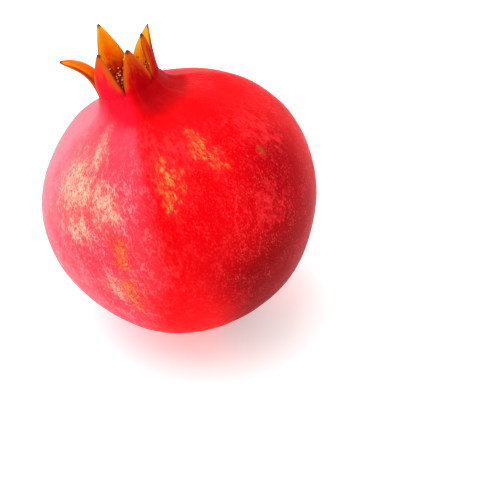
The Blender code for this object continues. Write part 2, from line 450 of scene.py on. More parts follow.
stump = draw_rings(STUMP)
stump.name = "stem_stump"
apply_modifier(stump, "SUBSURF", levels=1, render_levels=1)
bark = bpy.data.textures.new("bark", "CLOUDS")
bark.noise_scale = BARK_SIZE
apply_modifier(stump, "DISPLACE", strength=BARK_RISE, mid_level=0.5, texture=bark, texture_coords="LOCAL")
open_mesh(stump)
bpy.ops.mesh.select_all(action="SELECT")
bpy.ops.mesh.normals_make_consistent(inside=False)
close_mesh()
lean_over(stump)
bpy.ops.object.shade_smooth()
print("stump:", len(stump.data.polygons), "faces")

# %% [markdown]
# ## The stamens
# The tuft inside the crown is two hundred or so dried threads, each ending in a tiny pale anther. One
# thread and one anther are modelled with care for their outline but with few faces, then copied round the
# floor of the cup, each copy turned, leaned and scaled a little differently.

# %% Model one thread and one anther
THREAD_LENGTH = 13.0  # mm
THREAD_RADIUS = 0.2  # mm, at its foot
THREAD_SIDES = 5
THREAD_STEPS = 5
THREAD_BEND = 7.0  # degrees a step
THREAD_TAPER = 0.86  # of its width a step
ANTHER_RADIUS = 0.26  # mm
ANTHER_SHAPE = (1.5, 0.9, 0.75)  # how long, wide and high the bean is for its radius
FURROW_DEPTH = 0.1  # mm


def model_thread():
    """A five-sided stalk drawn upwards in steps, each one bent and a little thinner."""
    bpy.ops.mesh.primitive_circle_add(vertices=THREAD_SIDES, radius=THREAD_RADIUS * MM, fill_type="NGON")
    thread = bpy.context.object
    open_mesh(thread)
    bpy.ops.mesh.select_all(action="SELECT")
    spot = Vector((0, 0, 0))
    for step in range(THREAD_STEPS):
        bend = math.radians(THREAD_BEND * (step + 0.5))
        move = Vector((math.sin(bend), 0, math.cos(bend))) * THREAD_LENGTH / THREAD_STEPS * MM
        bpy.ops.mesh.extrude_region_move(TRANSFORM_OT_translate={"value": move})
        spot += move
        turn_picked(THREAD_BEND, "Y", spot)
        bpy.ops.transform.resize(value=(THREAD_TAPER,) * 3, center_override=spot)
    bpy.ops.mesh.select_all(action="SELECT")
    bpy.ops.mesh.normals_make_consistent(inside=False)
    close_mesh()
    return thread, spot


def model_anther(spot):
    """A small bean across the thread's tip, with a furrow between its two halves."""
    bpy.ops.mesh.primitive_uv_sphere_add(
        segments=8, ring_count=6, radius=ANTHER_RADIUS * MM, location=spot,
    )
    anther = bpy.context.object
    bpy.ops.object.transform_apply(location=True, rotation=True, scale=True)
    open_mesh(anther)
    bpy.ops.mesh.select_all(action="SELECT")
    bpy.ops.transform.resize(value=ANTHER_SHAPE, center_override=spot)
    bpy.ops.mesh.select_all(action="DESELECT")
    pick_edges(anther, lambda edge: all(abs(v.co.x - spot.x) < 0.01 * MM and v.co.z > spot.z
                                        for v in edge.verts))
    bpy.ops.transform.translate(value=(0, 0, -FURROW_DEPTH * MM))
    close_mesh()
    return anther


thread, thread_tip = model_thread()
anther = model_anther(thread_tip)
print("thread:", len(thread.data.polygons), "faces, anther:", len(anther.data.polygons), "faces")

# %% Copy them round the floor of the cup
STAMEN_COUNT = 220
TUFT_RADIUS = 7.6  # mm
STAMEN_FLOOR_Z = 46.2  # mm, in the middle of the cup
FLOOR_RISE = 2.2  # mm, from there to the tuft's edge
LEANS = (-14, 7)  # degrees outwards, the least and the most
EDGE_LEANS_IN = 2  # degrees more inwards at the tuft's edge
SIZES = (0.62, 1.22)  # of the one thread's size
GOLDEN_ANGLE = 137.508  # degrees; turning by it again and again never lines two up


def copy_of(obj, place):
    """A copy with its own mesh, put in its place."""
    double = bpy.data.objects.new(obj.name, obj.data.copy())
    bpy.context.scene.collection.objects.link(double)
    double.matrix_world = place
    return double


def join_all(copies, name):
    """Makes one object of many, at the origin."""
    bpy.ops.object.select_all(action="DESELECT")
    for obj in copies:
        obj.select_set(True)
    bpy.context.view_layer.objects.active = copies[0]
    bpy.ops.object.transform_apply(location=True, rotation=True, scale=True)
    bpy.ops.object.join()
    joined = bpy.context.object
    joined.name = name
    return joined


chance = random.Random(7)
threads, anthers = [], []
for number in range(STAMEN_COUNT):
    share = math.sqrt((number + 0.5) / STAMEN_COUNT)
    radius = TUFT_RADIUS * share
    around = math.radians(number * GOLDEN_ANGLE)
    foot = Vector((radius * math.cos(around), radius * math.sin(around),
                   STAMEN_FLOOR_Z + FLOOR_RISE * share**3)) * MM
    outward = math.radians(chance.uniform(*LEANS) - EDGE_LEANS_IN * share)
    size = chance.uniform(*SIZES)
    place = (
        Matrix.Translation(foot)
        @ Matrix.Rotation(around, 4, "Z")
        @ Matrix.Rotation(outward, 4, "Y")
        @ Matrix.Rotation(math.radians(chance.uniform(0, 360)), 4, "Z")
        @ Matrix.Scale(size, 4)
    )
    threads.append(copy_of(thread, place))
    anthers.append(copy_of(anther, place))
filaments = join_all(threads, "filaments")
anther_tuft = join_all(anthers, "anthers")
for master in (thread, anther):
    bpy.data.objects.remove(master, do_unlink=True)
for tuft in (filaments, anther_tuft):
    lean_over(tuft)
    bpy.ops.object.shade_smooth()
    print(tuft.name, len(tuft.data.polygons), "faces")

# %% [markdown]
# ## Nodes without the clutter
# A material is a small network of nodes. The bench below adds a node, sets what it needs and joins its
# inputs in one line, so that each finish reads like its recipe. What a group or a material lays where is
# told by masks: numbers from 0 to 1 that are multiplied, added and faded into each other.


# %% A bench for node trees
class NodeBench:
    """Adds nodes to one tree. An input may be a plain value or another node's output."""

    def __init__(self, tree):
        self.tree = tree

    def add(self, kind, inputs=None, **settings):
        made = self.tree.nodes.new(kind)
        for name, value in settings.items():
            setattr(made, name, value)
        for name, value in (inputs or {}).items():
            if isinstance(value, bpy.types.NodeSocket):
                self.tree.links.new(value, made.inputs[name])
            else:
                made.inputs[name].default_value = value
        return made

    def maths(self, operation, first, second=0.0):
        return self.add("ShaderNodeMath", {0: first, 1: second}, operation=operation).outputs[0]

    def plus(self, first, second):
        return self.maths("ADD", first, second)

    def minus(self, first, second):
        return self.maths("SUBTRACT", first, second)

    def times(self, first, second):
        return self.maths("MULTIPLY", first, second)

    def larger(self, first, second):
        return self.maths("MAXIMUM", first, second)

    def size_of(self, value):
        """A number without its sign."""
        return self.maths("ABSOLUTE", value)

    def vector(self, operation, first, second=(0, 0, 0)):
        return self.add("ShaderNodeVectorMath", {0: first, 1: second}, operation=operation).outputs[0]

    def fade(self, value, start, end, low=0.0, high=1.0):
        """Low before start, high after end, and a smooth change between them."""
        inputs = {"Value": value, "From Min": start, "From Max": end, "To Min": low, "To Max": high}
        return self.add("ShaderNodeMapRange", inputs, interpolation_type="SMOOTHSTEP").outputs[0]

    def noise(self, where, scale, detail=4.0, roughness=0.55, distortion=0.0):
        inputs = {"Vector": where, "Scale": scale, "Detail": detail, "Roughness": roughness,
                  "Distortion": distortion}
        return self.add("ShaderNodeTexNoise", inputs).outputs["Fac"]

    def paint(self, mask, under, over):
        """The colour over laid on the colour under where the mask says."""
        return self.add("ShaderNodeMix", {0: mask, 6: under, 7: over}, data_type="RGBA").outputs[2]

    def marked(self, name):
        """What mark() wrote at the points of the mesh."""
        return self.add("ShaderNodeAttribute", attribute_name=name).outputs["Fac"]


def new_group(name, inputs, outputs):
    """A shader node group with its sockets: {name: (type, default)}."""
    tree = bpy.data.node_groups.new(name, "ShaderNodeTree")
    for socket, (kind, default) in inputs.items():
        made = tree.interface.new_socket(socket, in_out="INPUT", socket_type=kind)
        if default is not None:
            made.default_value = default
    for socket, kind in outputs.items():
        tree.interface.new_socket(socket, in_out="OUTPUT", socket_type=kind)
    bench = NodeBench(tree)
    return bench, tree.nodes.new("NodeGroupInput").outputs, tree.nodes.new("NodeGroupOutput").inputs


def use_group(bench, name, inputs=None):
    """Places a group in a tree and gives its outputs."""
    return bench.add("ShaderNodeGroup", inputs, node_tree=bpy.data.node_groups[name]).outputs


def colour(red, green, blue):
    """A colour as seen on a screen, from 0 to 255, made linear for the shader."""
    def linear(value):
        value /= 255
        return value / 12.92 if value <= 0.04045 else ((value + 0.055) / 1.055) ** 2.4
    return (linear(red), linear(green), linear(blue), 1.0)


# %% [markdown]
# ## Where a point is on the fruit
# Streaks on a rind run from the crown to the stem, and patches sit at a certain height on a certain side.
# So the first group turns an object's own coordinates back into the upright fruit's: a place in
# millimetres, degrees round from the front rib, degrees down from the crown, and a streak coordinate that
# is squeezed along the meridians.

# %% The group of fruit coordinates
STREAK_ROUND = 46.0  # mm, the radius that a turn round the fruit is measured on
STREAK_DOWN = 52.0  # mm, the radius that a step downwards is measured on
STREAK_STRETCH = 0.55  # how much slower a streak changes along a meridian
DEGREES = 180 / math.pi  # in a radian

bench, given, told = new_group("fruit_places", {}, {
    "Place": "NodeSocketVector", "Around": "NodeSocketFloat", "Down": "NodeSocketFloat",
    "Streak": "NodeSocketVector", "Height": "NodeSocketFloat",
})
own = bench.add("ShaderNodeTexCoord").outputs["Object"]
place = bench.add("ShaderNodeMapping", {
    "Vector": own, "Location": MIDDLE, "Rotation": FACING.to_euler(), "Scale": (MM, MM, MM),
}, vector_type="TEXTURE").outputs[0]
parts = bench.add("ShaderNodeSeparateXYZ", {0: place}).outputs
flat = bench.vector("MULTIPLY", place, (1, 1, 0))
reach = bench.add("ShaderNodeVectorMath", {0: flat}, operation="LENGTH").outputs["Value"]
around = bench.times(bench.maths("ARCTAN2", parts[1], parts[0]), DEGREES)
down = bench.times(bench.maths("ARCTAN2", reach, parts[2]), DEGREES)
sideways = bench.add("ShaderNodeVectorMath", {0: flat}, operation="NORMALIZE").outputs[0]
streak_down = bench.times(down, STREAK_DOWN * math.pi / 180 * STREAK_STRETCH)
streak = bench.vector("ADD", bench.vector("MULTIPLY", sideways, (STREAK_ROUND,) * 3),
                      bench.add("ShaderNodeCombineXYZ", {"Z": streak_down}).outputs[0])
for name, value in (("Place", place), ("Around", around), ("Down", down), ("Streak", streak),
                    ("Height", parts[2])):
    bench.tree.links.new(value, told[name])
print("fruit_places:", len(bench.tree.nodes), "nodes")

# %% The group of soft patches
PATCH_ENDS = 1.4  # times its half width and half height, where a patch has faded away

bench, given, told = new_group("soft_patch", {
    "Around": ("NodeSocketFloat", 0.0), "Down": ("NodeSocketFloat", 0.0),
    "Middle Around": ("NodeSocketFloat", 0.0), "Middle Down": ("NodeSocketFloat", 60.0),
    "Half Width": ("NodeSocketFloat", 10.0), "Half Height": ("NodeSocketFloat", 10.0),
}, {"Mask": "NodeSocketFloat"})
aside = bench.maths("DIVIDE", bench.minus(given["Around"], given["Middle Around"]), given["Half Width"])
below = bench.maths("DIVIDE", bench.minus(given["Down"], given["Middle Down"]), given["Half Height"])
distance = bench.maths("SQRT", bench.plus(bench.times(aside, aside), bench.times(below, below)))
bench.tree.links.new(bench.fade(distance, 0.0, PATCH_ENDS, 1.0, 0.0), told["Mask"])
print("soft_patch:", len(bench.tree.nodes), "nodes")

# %% The group of fine dots
bench, given, told = new_group("fine_dots", {
    "Place": ("NodeSocketVector", None), "Spacing": ("NodeSocketFloat", 1.2),
    "Size": ("NodeSocketFloat", 0.25), "Amount": ("NodeSocketFloat", 0.5),
}, {"Mask": "NodeSocketFloat"})
cells = bench.add("ShaderNodeTexVoronoi", {
    "Vector": given["Place"], "Scale": bench.maths("DIVIDE", 1.0, given["Spacing"]),
    "Randomness": 1.0,
})
lot = bench.add("ShaderNodeSeparateColor", {0: cells.outputs["Color"]}).outputs[0]
chosen = bench.maths("LESS_THAN", lot, given["Amount"])
dot = bench.fade(cells.outputs["Distance"], bench.times(given["Size"], 0.5), given["Size"], 1.0, 0.0)
bench.tree.links.new(bench.times(dot, chosen), told["Mask"])
print("fine_dots:", len(bench.tree.nodes), "nodes")

# %% The group of grained relief
DIMPLE_SHARE = 0.35  # of the broad waves' height
GRAIN_SHARE = 0.06

bench, given, told = new_group("skin_relief", {
    "Place": ("NodeSocketVector", None), "Grain": ("NodeSocketFloat", 1.0),
    "Dimples": ("NodeSocketFloat", 1.0),
}, {"Height": "NodeSocketFloat", "Unevenness": "NodeSocketFloat"})
broad = bench.noise(given["Place"], 0.16, 3.0, 0.5)
dimpled = bench.noise(given["Place"], 0.8, 3.0, 0.6)
fine = bench.noise(given["Place"], 3.2, 2.0, 0.6)
dimples = bench.times(bench.times(dimpled, DIMPLE_SHARE), given["Dimples"])
grains = bench.times(bench.times(fine, GRAIN_SHARE), given["Grain"])
bench.tree.links.new(bench.plus(broad, bench.plus(dimples, grains)), told["Height"])
bench.tree.links.new(dimpled, told["Unevenness"])
print("skin_relief:", len(bench.tree.nodes), "nodes")


# %% [markdown]
# ## The finish of the rind
# The rind is satin, waxy and never one red. The side left of the front rib is paler and pinker, with cream
# fibres showing through in streaky patches, and painted light and a painted sheen make it paler still
# towards the lamp;
# the right side is a deep clear red, darkened further by painted shade and by a painted shadow low down,
# with a few orange patches, a small dry scar and a dust of pale pores. Painted shade darkens it beside the
# neck, towards the crown, and the sepals turn orange inside and along their dry brown margins.

# %% Start the rind's material
def new_material(name, roughness, **constants):
    """A material with one shader, and the bench for its nodes."""
    made = bpy.data.materials.new(name)
    made.use_nodes = True
    made.node_tree.nodes.clear()
    bench = NodeBench(made.node_tree)
    shader = bench.add("ShaderNodeBsdfPrincipled", {"Roughness": roughness})
    for socket, value in constants.items():
        shader.inputs[socket.replace("_", " ")].default_value = value
    bench.add("ShaderNodeOutputMaterial", {"Surface": shader.outputs[0]})
    return made, bench, shader


rind_finish, bench, rind_shader = new_material("rind_finish", 0.42, Specular_IOR_Level=0.02)
where = use_group(bench, "fruit_places")
relief = use_group(bench, "skin_relief", {"Place": where["Place"]})


def count_nodes(done):
    print(done + ":", len(rind_finish.node_tree.nodes), "nodes in the rind's material so far")


count_nodes("started")

# %% Its colours
PURE_RED = colour(232, 0, 10)
# partly painted shade: the deeper red of the right side, turned from the lamp
CRIMSON_AND_SHADE = colour(172, 0, 14)
# painted shadow on the lower right
SHADOW_CRIMSON = colour(136, 0, 6)
NECK_SHADE = colour(160, 0, 8)
PINK_RED = colour(234, 62, 82)
# painted sheen: the pale side's pink towards its left edge
SHEEN_PINK = colour(240, 124, 140)
PALE_ROSE = colour(248, 158, 162)
PEACH = colour(250, 140, 132)
CREAM = colour(250, 206, 166)
ORANGE_PATCH = colour(248, 108, 40)
YELLOW_PATCH = colour(250, 168, 96)
LIGHT_RED = colour(250, 44, 50)
ROSE_RED = colour(238, 18, 46)
PALE_SPECK = colour(238, 78, 72)
DARK_SPECK = colour(150, 30, 30)
OLIVE_SCAR = colour(150, 92, 40)
SEPAL_BASE = colour(192, 22, 4)
SEPAL_ORANGE = colour(255, 98, 0)
SEPAL_YELLOW = colour(255, 166, 16)
MARGIN_ORANGE = colour(214, 84, 18)
CUP_SHADE = colour(110, 20, 10)
DRY_BROWN = colour(84, 32, 14)

# %% Two slow noises, so that no edge on the rind runs straight
ANOTHER_PLACE = (40, 70, 10)  # mm aside, so that the second noise isn't the first again

wander = bench.noise(where["Place"], 0.09, 4.0, 0.6)
wander_too = bench.noise(bench.vector("ADD", where["Place"], ANOTHER_PLACE), 0.13, 4.0, 0.6)


def spread_out(noise, reach):
    """A noise from 0 to 1, turned into one from about -reach to reach."""
    return bench.times(bench.minus(noise, 0.5), 2 * reach)


# %% Fine flutes that run up the neck and on into the sepals
FLUTES_ROUND = 0.10  # how closely they lie round the neck
FLUTES_ALONG = 0.02  # and how slowly they change on their way down
FLUTES_END = (34.0, 16.0)  # degrees down, from none to whole

squeezed = bench.vector("MULTIPLY", where["Streak"], (FLUTES_ROUND, FLUTES_ROUND, FLUTES_ALONG))
flutes = bench.noise(squeezed, 1.0, 3.0, 0.5)
on_neck = bench.fade(where["Down"], *FLUTES_END)
count_nodes("flutes")

# %% [markdown]
# ## The grounds, from side to side
# A ground is one broad colour of the rind, and a mask says where it lies. Some grounds are partly painted
# light and shade:
# the paler left side is lit and given a painted sheen, the right and lower side carry painted shade and a
# painted shadow, and painted shade lies beside the neck. The masks are fades in degrees round from the
# front rib, or down from the crown. Each pair below is where a fade starts and ends. A fade round the fruit
# has to come to the same value on both sides of the back, or a seam would show there.

# %% The pale side, left of the front rib: partly the rind's own paler colour, partly painted light on the side facing the lamp
EDGE_FROM_RIB = 4.0  # degrees right of the rib
EDGE_TOP = 24.0  # degrees down, where the edge leaves the rib
EDGE_LEAN = 0.0034  # how fast it drifts off the rib below that
EDGE_WAVER = 8.0  # degrees
EDGE_SOFTENS = (30.0, 80.0)  # degrees down
EDGE_SHARP, EDGE_SOFT = 2.0, 10.0  # degrees to each side, above and below that
PALE_FROM_BACK = (-165.0, -100.0)  # degrees round, where it comes in from the back

below_top = bench.minus(where["Down"], EDGE_TOP)
drift = bench.times(bench.times(below_top, below_top), EDGE_LEAN)
side_edge = bench.plus(bench.minus(where["Around"], EDGE_FROM_RIB), drift)
side_edge = bench.plus(side_edge, spread_out(wander, EDGE_WAVER))
softness = bench.fade(where["Down"], *EDGE_SOFTENS, EDGE_SHARP, EDGE_SOFT)
pale_and_lit_side = bench.fade(side_edge, bench.times(softness, -1.0), softness, 1.0, 0.0)
pale_and_lit_side = bench.times(pale_and_lit_side, bench.fade(where["Around"], *PALE_FROM_BACK))
count_nodes("pale side")

# %% The neck keeps its red, and brings it further down towards the right
NECK_DROPS_FROM = 41.0  # degrees left of the rib
NECK_DROP = 0.25  # degrees down for each degree round
NECK_WAVER = 3.0
PALE_BELOW_NECK = (11.0, 21.0)

past_left = bench.larger(bench.plus(where["Around"], NECK_DROPS_FROM), 0.0)
neck_edge = bench.minus(where["Down"], bench.times(past_left, NECK_DROP))
neck_edge = bench.plus(neck_edge, spread_out(wander_too, NECK_WAVER))
pale_and_lit_side = bench.times(pale_and_lit_side, bench.fade(neck_edge, *PALE_BELOW_NECK))
count_nodes("edge of the neck")

# %% The deep side on the right, partly painted shade; the low side under it, a painted shadow; and painted shade beside the neck
DEEP_ROUND, DEEP_DOWN, DEEP_EASES = (34.0, 64.0), (46.0, 68.0), (64.0, 92.0)
LOW_ROUND, LOW_DOWN, LOW_EASES = (0.0, 28.0), (74.0, 106.0), (36.0, 78.0)
NECK_ROUND, NECK_ENDS, NECK_DOWN = (6.0, 26.0), (120.0, 170.0), (18.0, 31.0)
TO_BACK = (125.0, 172.0)  # degrees round to either side

# The right side is a deeper crimson, partly its own colour and partly painted shade where it turns from the
# lamp.
deep_and_shaded_side = bench.times(bench.fade(side_edge, *DEEP_ROUND), bench.fade(where["Down"], *DEEP_DOWN))
deep_and_shaded_side = bench.times(deep_and_shaded_side, bench.fade(where["Around"], *DEEP_EASES, 1.0, 0.3))
# Painted shadow: the lower right side is darkened as if in shade.
shadowed_low_side = bench.times(bench.fade(where["Around"], *LOW_ROUND), bench.fade(where["Down"], *LOW_DOWN))
shadowed_low_side = bench.times(shadowed_low_side, bench.fade(where["Around"], *LOW_EASES, 1.0, 0.25))
not_behind = bench.fade(bench.size_of(where["Around"]), *TO_BACK, 1.0, 0.0)
deep_and_shaded_side = bench.times(deep_and_shaded_side, not_behind)
shadowed_low_side = bench.times(shadowed_low_side, not_behind)
# Painted shade beside the neck, on its right, where the crown shades the rind.
neck_shade_side = bench.times(bench.fade(where["Around"], *NECK_ROUND),
                        bench.fade(where["Around"], *NECK_ENDS, 1.0, 0.0))
neck_shade_side = bench.times(neck_shade_side, bench.fade(where["Down"], *NECK_DOWN, 1.0, 0.0))
count_nodes("deep, low and neck sides")

# %% Lay the grounds on each other
ROSE_ROUND, ROSE_DOWN = (14.0, -6.0), (60.0, 24.0)
PINK_PALES = (-30.0, -70.0)
NECK_STRENGTH = 0.8
PALE_STRENGTH = 0.9
FLUTE_HIGHLIGHT, FLUTE_SHADE = 0.3, 0.2

# Painted shade on the right side, partly the rind's own deeper red.
ground = bench.paint(deep_and_shaded_side, PURE_RED, CRIMSON_AND_SHADE)
# Painted shadow on the lower right.
ground = bench.paint(shadowed_low_side, ground, SHADOW_CRIMSON)
# Painted shade beside the neck.
ground = bench.paint(bench.times(neck_shade_side, NECK_STRENGTH), ground, NECK_SHADE)
rose_side = bench.times(bench.fade(where["Around"], *ROSE_ROUND), bench.fade(where["Down"], *ROSE_DOWN))
ground = bench.paint(bench.times(rose_side, not_behind), ground, ROSE_RED)
# Painted highlight on the crests of the flutes and painted shade in their grooves, following their relief.
flute_highlight = bench.times(bench.fade(flutes, 0.50, 0.70, 0.0, FLUTE_HIGHLIGHT), on_neck)
flute_shade = bench.times(bench.fade(flutes, 0.50, 0.30, 0.0, FLUTE_SHADE), on_neck)
ground = bench.paint(flute_highlight, ground, LIGHT_RED)
ground = bench.paint(flute_shade, ground, NECK_SHADE)
wavering = bench.plus(where["Around"], spread_out(wander_too, 20.0))
# Painted sheen: the pale side turns paler pink further left, towards the edge that faces the lamp.
pink_and_sheen = bench.paint(bench.fade(wavering, *PINK_PALES), PINK_RED, SHEEN_PINK)
ground = bench.paint(bench.times(pale_and_lit_side, PALE_STRENGTH), ground, pink_and_sheen)
count_nodes("grounds laid")

# %% [markdown]
# ## Patches, mottled and streaked
# The patches are places where the fibres under the skin show through, and one light red patch on top of the
# body is a painted highlight. A painter would use a dry brush:
# solid nowhere, thick in the middle and streaky at the edge. So a patch is a soft oval that only shows
# where a noise, stretched along the meridians, lets it.

# %% Where the patches lie
CREAM_PATCHES = [  # degrees round and down to the middle, then half the width and the height
    (-38, 47, 19, 19), (-20, 54, 11, 12), (-34, 63, 9, 5), (-28, 34, 9, 14), (-27, 88, 9, 8),
    (-84, 74, 18, 22), (-108, 50, 14, 16),
]
ORANGE_PATCHES = [
    (-16, 73, 7, 9), (-20, 92, 8, 13), (14, 50, 7, 10), (12, 60, 5, 7), (34, 45, 7, 8),
    (37, 54, 6, 7), (122, 74, 9, 12), (148, 52, 10, 8), (-138, 82, 9, 14),
]
# The light red patches are lighter mottles of the red side, except (104, 27, 34, 9): a painted highlight
# where the lamp falls on the top of the body.
RUDDY_AND_LIT_PATCHES = [
    (22, 44, 22, 14), (8, 40, 14, 20), (46, 80, 14, 12), (-4, 78, 12, 22), (66, 56, 20, 16),
    (136, 64, 28, 26), (104, 27, 34, 9), (70, 51, 7, 6),
]
PATCH_WAVER = 9.0  # degrees

wavy_around = bench.plus(where["Around"], spread_out(wander, PATCH_WAVER))
wavy_down = bench.plus(where["Down"], spread_out(wander_too, PATCH_WAVER))


def patches_mask(places):
    """One mask for a whole list of patches."""
    total = None
    for around, down, wide, high in places:
        mask = use_group(bench, "soft_patch", {
            "Around": wavy_around, "Down": wavy_down, "Middle Around": float(around),
            "Middle Down": float(down), "Half Width": float(wide), "Half Height": float(high),
        })["Mask"]
        total = mask if total is None else bench.larger(total, mask)
    return total


print(len(CREAM_PATCHES), "cream,", len(ORANGE_PATCHES), "orange and", len(RUDDY_AND_LIT_PATCHES), "ruddy patches")

# %% What breaks them up: wisps, smears, grain and specks
wisps = bench.noise(where["Streak"], 0.26, 7.0, 0.74, 0.4)
smear = bench.noise(where["Streak"], 0.55, 3.0, 0.6, 0.3)
grain = bench.noise(where["Streak"], 1.4, 2.0, 0.7, 0.6)
specks = bench.noise(where["Streak"], 2.4, 0.0, 0.5)
flecks = bench.plus(spread_out(wisps, 1.0), spread_out(grain, 1.0))
smears = bench.plus(spread_out(smear, 1.1), spread_out(grain, 0.6))

PATCH_PULL = 0.66  # how much the middle of a patch adds to its marks
MARKS_SHOW = (0.22, 1.02)
PATCH_RIM = (0.02, 0.4)  # outside it no mark shows


def mottled(patches, marks, strength):
    """Breaks soft patches up into wisps at their edges and into grains inside."""
    here = bench.plus(bench.times(patches, PATCH_PULL), marks)
    return bench.times(bench.fade(here, *MARKS_SHOW), bench.fade(patches, *PATCH_RIM, 0.0, strength))


red_side = bench.minus(1.0, pale_and_lit_side)
cream_patches = bench.times(patches_mask(CREAM_PATCHES), pale_and_lit_side)
orange_patches = patches_mask(ORANGE_PATCHES)
ruddy_and_lit_patches = bench.times(patches_mask(RUDDY_AND_LIT_PATCHES), red_side)
cream_mask = mottled(cream_patches, flecks, 0.75)
orange_mask = mottled(orange_patches, smears, 0.95)
ruddy_and_lit_mask = mottled(ruddy_and_lit_patches, smears, 0.8)
count_nodes("mottled masks")

# %% Lay the flecks and the patches on the ground
FLECKS_DOWN = (30.0, 50.0)
FLECKS_SHOW = (-0.05, 0.5)
YELLOW_SHOWS = (0.7, 1.3)
PEACH_WASH = 0.38  # a thin wash under the cream
RED_WASH = 0.5  # and under the orange

fleck_side = bench.times(bench.fade(where["Down"], *FLECKS_DOWN, 0.25, 1.0),
                         bench.fade(deep_and_shaded_side, 0.0, 1.0, 0.5, 0.15))
fleck_mask = bench.times(bench.fade(flecks, *FLECKS_SHOW), fleck_side)
skin = bench.paint(fleck_mask, ground, bench.paint(pale_and_lit_side, LIGHT_RED, PALE_ROSE))
# Light red mottles, and a painted highlight on the top of the body.
skin = bench.paint(ruddy_and_lit_mask, skin, LIGHT_RED)
skin = bench.paint(bench.times(cream_patches, PEACH_WASH), skin, PEACH)
skin = bench.paint(cream_mask, skin, CREAM)
skin = bench.paint(bench.times(orange_patches, RED_WASH), skin, LIGHT_RED)
yellow_mask = bench.fade(bench.plus(flecks, orange_mask), *YELLOW_SHOWS, 0.0, 0.6)
skin = bench.paint(orange_mask, skin, bench.paint(yellow_mask, ORANGE_PATCH, YELLOW_PATCH))
count_nodes("patches laid")

# %% Pale pores and dark grains
PORES_SHOW = (0.66, 0.80)
PORES_ROUND, PORES_BACK, PORES_DOWN = (5.0, 40.0), (-130.0, -180.0), (34.0, 60.0)
PORE_STRENGTH = 0.5
GRAINS_SHOW = (0.42, 0.32)
GRAIN_STRENGTH = 0.7

pore_here = bench.plus(specks, spread_out(wander_too, 0.30))
pore_side = bench.plus(bench.fade(where["Around"], *PORES_ROUND, 0.25, 1.0),
                       bench.fade(where["Around"], *PORES_BACK, 0.0, 0.75))
pore_side = bench.times(pore_side, bench.fade(where["Down"], *PORES_DOWN))
pores = bench.times(bench.fade(pore_here, *PORES_SHOW), bench.times(pore_side, PORE_STRENGTH))
skin = bench.paint(pores, skin, PALE_SPECK)
speckled = bench.larger(bench.larger(cream_patches, orange_patches), bench.times(pale_and_lit_side, 0.35))
dark_grains = bench.times(bench.fade(specks, *GRAINS_SHOW), speckled)
skin = bench.paint(bench.times(dark_grains, GRAIN_STRENGTH), skin, DARK_SPECK)
count_nodes("pores and grains")

# %% The dry scar
SCAR_MIDDLE = (57.0, 61.5)  # degrees round and down
SCAR_HALF = (1.2, 2.6)  # half its width and height in degrees
SCAR_STRENGTH = 0.65

scar = use_group(bench, "soft_patch", {
    "Around": bench.plus(where["Around"], spread_out(grain, 2.0)),
    "Down": bench.plus(where["Down"], spread_out(wisps, 3.0)),
    "Middle Around": SCAR_MIDDLE[0], "Middle Down": SCAR_MIDDLE[1],
    "Half Width": SCAR_HALF[0], "Half Height": SCAR_HALF[1],
})["Mask"]
skin = bench.paint(bench.times(scar, SCAR_STRENGTH), skin, OLIVE_SCAR)
count_nodes("scar")

# %% [markdown]
# ## The finish of the crown
# Outside, a sepal is as red as the rind and turns orange towards its tip and its margins. Inside it is
# orange and yellow, with painted shade deep in the cup. Its margins and tip have dried brown. The marks
# written into the mesh say how far along and across a sepal every point lies.

# %% The veins of the sepals, and their outside
ORANGE_SHOWS = (0.15, 0.85)

along = bench.marked("along_sepal")
across = bench.marked("across_sepal")
inside = bench.fade(bench.marked("inside_crown"), 0.3, 0.7)
blade = bench.add("ShaderNodeCombineXYZ", {
    "X": bench.times(across, 5.0), "Y": bench.times(along, 1.3),
}).outputs[0]
veins = bench.noise(bench.vector("ADD", blade, bench.vector("MULTIPLY", where["Place"], (0.35,) * 3)),
                    0.8, 4.0, 0.6)
outer_orange = bench.plus(bench.times(bench.times(along, along), 0.8),
                          bench.times(bench.fade(across, 0.35, 0.95), 0.7))
outer_orange = bench.plus(outer_orange, bench.plus(spread_out(veins, 0.5), 0.08))
outer_orange = bench.times(outer_orange, bench.fade(along, 0.0, 0.3))
outer = bench.paint(bench.fade(outer_orange, *ORANGE_SHOWS), skin, MARGIN_ORANGE)
count_nodes("outside of the sepals")

# %% Their inside: the left one is redder, the back right one more yellow
LEFT_SEPAL = 90.0  # degrees left of the front rib
BACK_RIGHT_SEPAL = 138.0  # degrees right of it
YELLOW_INSIDE = (0.3, 1.05)
CUP_DARKENS = (56.0, 49.0)  # mm above the fruit's middle

inner = bench.paint(bench.fade(bench.plus(along, spread_out(veins, 0.3)), 0.08, 0.55),
                    SEPAL_BASE, SEPAL_ORANGE)
sunny = bench.plus(bench.times(along, 0.8), bench.times(across, 0.4))
on_left = bench.fade(bench.size_of(bench.plus(where["Around"], LEFT_SEPAL)), 36.0, 24.0)
sunny = bench.minus(sunny, bench.times(on_left, 0.35))
on_back_right = bench.fade(bench.size_of(bench.minus(where["Around"], BACK_RIGHT_SEPAL)), 40.0, 24.0)
sunny = bench.plus(sunny, bench.times(on_back_right, 0.3))
sunny = bench.plus(sunny, spread_out(veins, 0.4))
inner = bench.paint(bench.fade(sunny, *YELLOW_INSIDE), inner, SEPAL_YELLOW)
spots = use_group(bench, "fine_dots", {
    "Place": where["Place"], "Spacing": 1.5, "Size": 0.4, "Amount": 0.3,
})["Mask"]
spots = bench.times(spots, bench.fade(along, 0.5, 0.2, 0.0, 0.8))
inner = bench.paint(spots, inner, DRY_BROWN)
# Painted shade deep in the cup.
inner = bench.paint(bench.fade(where["Height"], *CUP_DARKENS), inner, CUP_SHADE)
count_nodes("inside of the sepals")

# %% Their dry margins and tips, and the whole colour
MARGIN_DRIES = (0.90, 0.99)  # shares across a sepal
TIP_DRIES = (0.90, 0.98)  # shares along it
DRY_STRENGTH = 0.85

